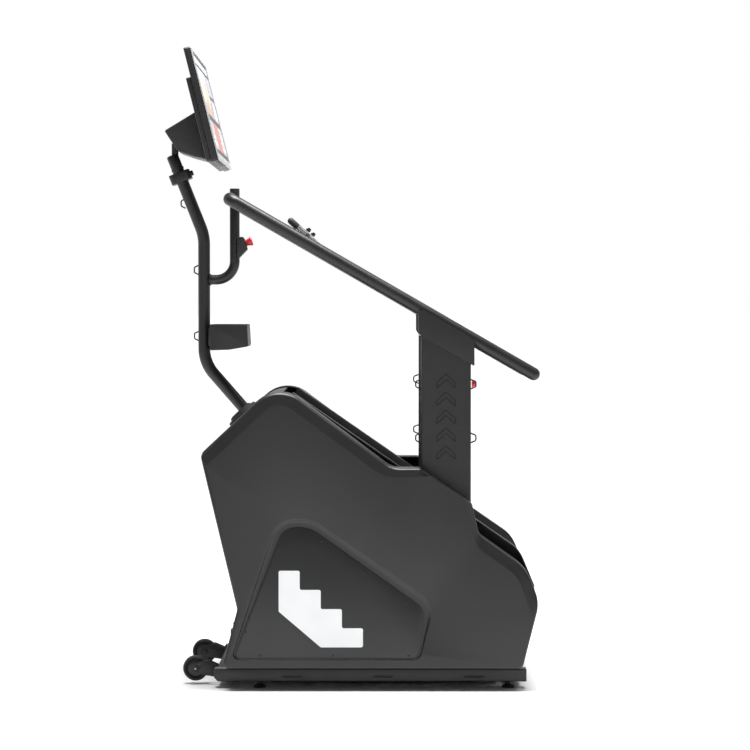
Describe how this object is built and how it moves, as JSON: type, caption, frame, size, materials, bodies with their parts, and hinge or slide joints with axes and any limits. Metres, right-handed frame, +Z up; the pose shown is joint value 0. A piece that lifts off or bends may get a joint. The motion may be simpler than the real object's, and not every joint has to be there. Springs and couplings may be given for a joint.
{
  "type": "stair climber",
  "caption": "Free-standing revolving-stair climber with moulded side shells, sloping handrails on two uprights, and a tall bent mast carrying a tilted display console.",
  "frame": {"origin": "middle of the footprint's bounding box, on the floor", "axes": "+X to the rear, where the user steps on; +Z up; -Y is the user's left"},
  "size_m": [1.2384, 0.776, 2.0846],
  "materials": {
    "shell_plastic": "satin moulded charcoal, fine texture",
    "black_plastic": "black moulded plastic",
    "frame_paint": "satin charcoal powder coat",
    "bare_steel": "machined",
    "zinc": "bright zinc",
    "step_alloy": "cast, black coated, ribbed tread",
    "rubber": "black rubber",
    "tyre": "smooth solid tyre",
    "red_plastic": "gloss red",
    "screen_glass": "coated display glass",
    "chain_steel": "oiled"
  },
  "bodies": {
    "frame": {"access_panel_left": "shell_plastic", "access_panel_right": "shell_plastic", "base_rails": "frame_paint", "brake_unit": "frame_paint", "console_housing": "black_plastic", "console_mount": "black_plastic", "console_screen": "screen_glass", "crossbar": "frame_paint", "crossmembers": "frame_paint", "drive_belt": "rubber", "front_cover": "shell_plastic", "grab_tube": "frame_paint", "hand_grips": "rubber", "handrail_left": "frame_paint", "handrail_right": "frame_paint", "inner_skirts": "black_plastic", "mast": "frame_paint", "mast_boot": "black_plastic", "panel_screws": "zinc", "power_inlet": "black_plastic", "rear_cover": "shell_plastic", "shaft_bearings": "bare_steel", "side_frames": "frame_paint", "side_shell_left": "shell_plastic", "side_shell_right": "shell_plastic", "step_chains": "chain_steel", "stop_housing": "black_plastic", "tray": "black_plastic", "upper_post": "frame_paint", "upright_caps": "black_plastic", "upright_left": "frame_paint", "upright_right": "frame_paint", "wheel_axles": "zinc", "wheel_brackets": "frame_paint", "wire_loops": "zinc"},
    "front_steps": {"step_2": "step_alloy", "step_3": "step_alloy", "step_4": "step_alloy"},
    "return_steps": {"step_6": "step_alloy", "step_7": "step_alloy", "step_8": "step_alloy"},
    "upper_drive": {"step_1": "step_alloy", "upper_shaft": "bare_steel", "upper_sprockets": "bare_steel", "drive_pulley": "bare_steel"},
    "lower_drive": {"step_5": "step_alloy", "lower_shaft": "bare_steel", "lower_sprockets": "bare_steel"},
    "brake_rotor": {"brake_pulley": "bare_steel"},
    "wheel_left": {"wheel_left": "tyre"},
    "wheel_right": {"wheel_right": "tyre"},
    "stop_button": {"stop_button": "red_plastic"},
    "call_button": {"call_button": "red_plastic"},
    "thumb_toggle_left": {"thumb_toggle_left": "black_plastic"},
    "thumb_toggle_right": {"thumb_toggle_right": "black_plastic"},
    "power_switch": {"power_switch": "black_plastic"},
    "foot_front_left": {"foot_front_left": "rubber"},
    "foot_front_right": {"foot_front_right": "rubber"},
    "foot_rear_left": {"foot_rear_left": "rubber"},
    "foot_rear_right": {"foot_rear_right": "rubber"}
  },
  "joints": [
    {"name": "stair_run", "type": "slide", "parent": "frame", "child": "front_steps", "axis": [0.8221, 0, -0.5693], "range_m": [-0.088, 0.088]},
    {"name": "return_run", "type": "slide", "parent": "frame", "child": "return_steps", "axis": [0.8221, 0, -0.5693], "range_m": [-0.09, 0.09]},
    {"name": "upper_turn", "type": "hinge", "parent": "frame", "child": "upper_drive", "pos_m": [-0.2145, 0, 0.72211], "axis": [0, 1, 0], "range_deg": [-43, 43]},
    {"name": "lower_turn", "type": "hinge", "parent": "frame", "child": "lower_drive", "pos_m": [0.398, 0, 0.298], "axis": [0, 1, 0], "range_deg": [-43, 43]},
    {"name": "brake_spin", "type": "hinge", "parent": "frame", "child": "brake_rotor", "pos_m": [-0.23, 0, 0.25], "axis": [0, 1, 0], "range_deg": [-118, 118]},
    {"name": "wheel_left_spin", "type": "hinge", "parent": "frame", "child": "wheel_left", "pos_m": [-0.506, -0.21, 0.052], "axis": [0, 1, 0], "continuous": true},
    {"name": "wheel_right_spin", "type": "hinge", "parent": "frame", "child": "wheel_right", "pos_m": [-0.506, 0.21, 0.052], "axis": [0, 1, 0], "continuous": true},
    {"name": "stop_press", "type": "slide", "parent": "frame", "child": "stop_button", "axis": [-0.9488, 0, -0.3159], "range_m": [0, 0.004], "stiffness_N_per_m": 1500, "springref_m": -0.002},
    {"name": "call_press", "type": "slide", "parent": "frame", "child": "call_button", "axis": [-1, 0, 0], "range_m": [0, 0.003], "stiffness_N_per_m": 1200, "springref_m": -0.002},
    {"name": "toggle_left_rock", "type": "hinge", "parent": "frame", "child": "thumb_toggle_left", "pos_m": [-0.13614, -0.268, 1.487], "axis": [0, 1, 0], "range_deg": [-12, 12], "stiffness_Nm_per_rad": 0.4},
    {"name": "toggle_right_rock", "type": "hinge", "parent": "frame", "child": "thumb_toggle_right", "pos_m": [-0.13614, 0.268, 1.487], "axis": [0, 1, 0], "range_deg": [-12, 12], "stiffness_Nm_per_rad": 0.4},
    {"name": "power_rock", "type": "hinge", "parent": "frame", "child": "power_switch", "pos_m": [-0.374, -0.2, 0.205], "axis": [0, 1, 0], "range_deg": [-9, 9]},
    {"name": "foot_front_left_height", "type": "slide", "parent": "frame", "child": "foot_front_left", "axis": [0, 0, -1], "range_m": [0, 0.012]},
    {"name": "foot_front_right_height", "type": "slide", "parent": "frame", "child": "foot_front_right", "axis": [0, 0, -1], "range_m": [0, 0.012]},
    {"name": "foot_rear_left_height", "type": "slide", "parent": "frame", "child": "foot_rear_left", "axis": [0, 0, -1], "range_m": [0, 0.012]},
    {"name": "foot_rear_right_height", "type": "slide", "parent": "frame", "child": "foot_rear_right", "axis": [0, 0, -1], "range_m": [0, 0.012]}
  ],
  "couplings": [
    {"joint": "return_run", "follows": "stair_run", "ratio": -1},
    {"joint": "upper_turn", "follows": "stair_run", "rad_per_m": 8.3333},
    {"joint": "lower_turn", "follows": "stair_run", "rad_per_m": 8.3333},
    {"joint": "brake_spin", "follows": "stair_run", "rad_per_m": 22.917}
  ]
}
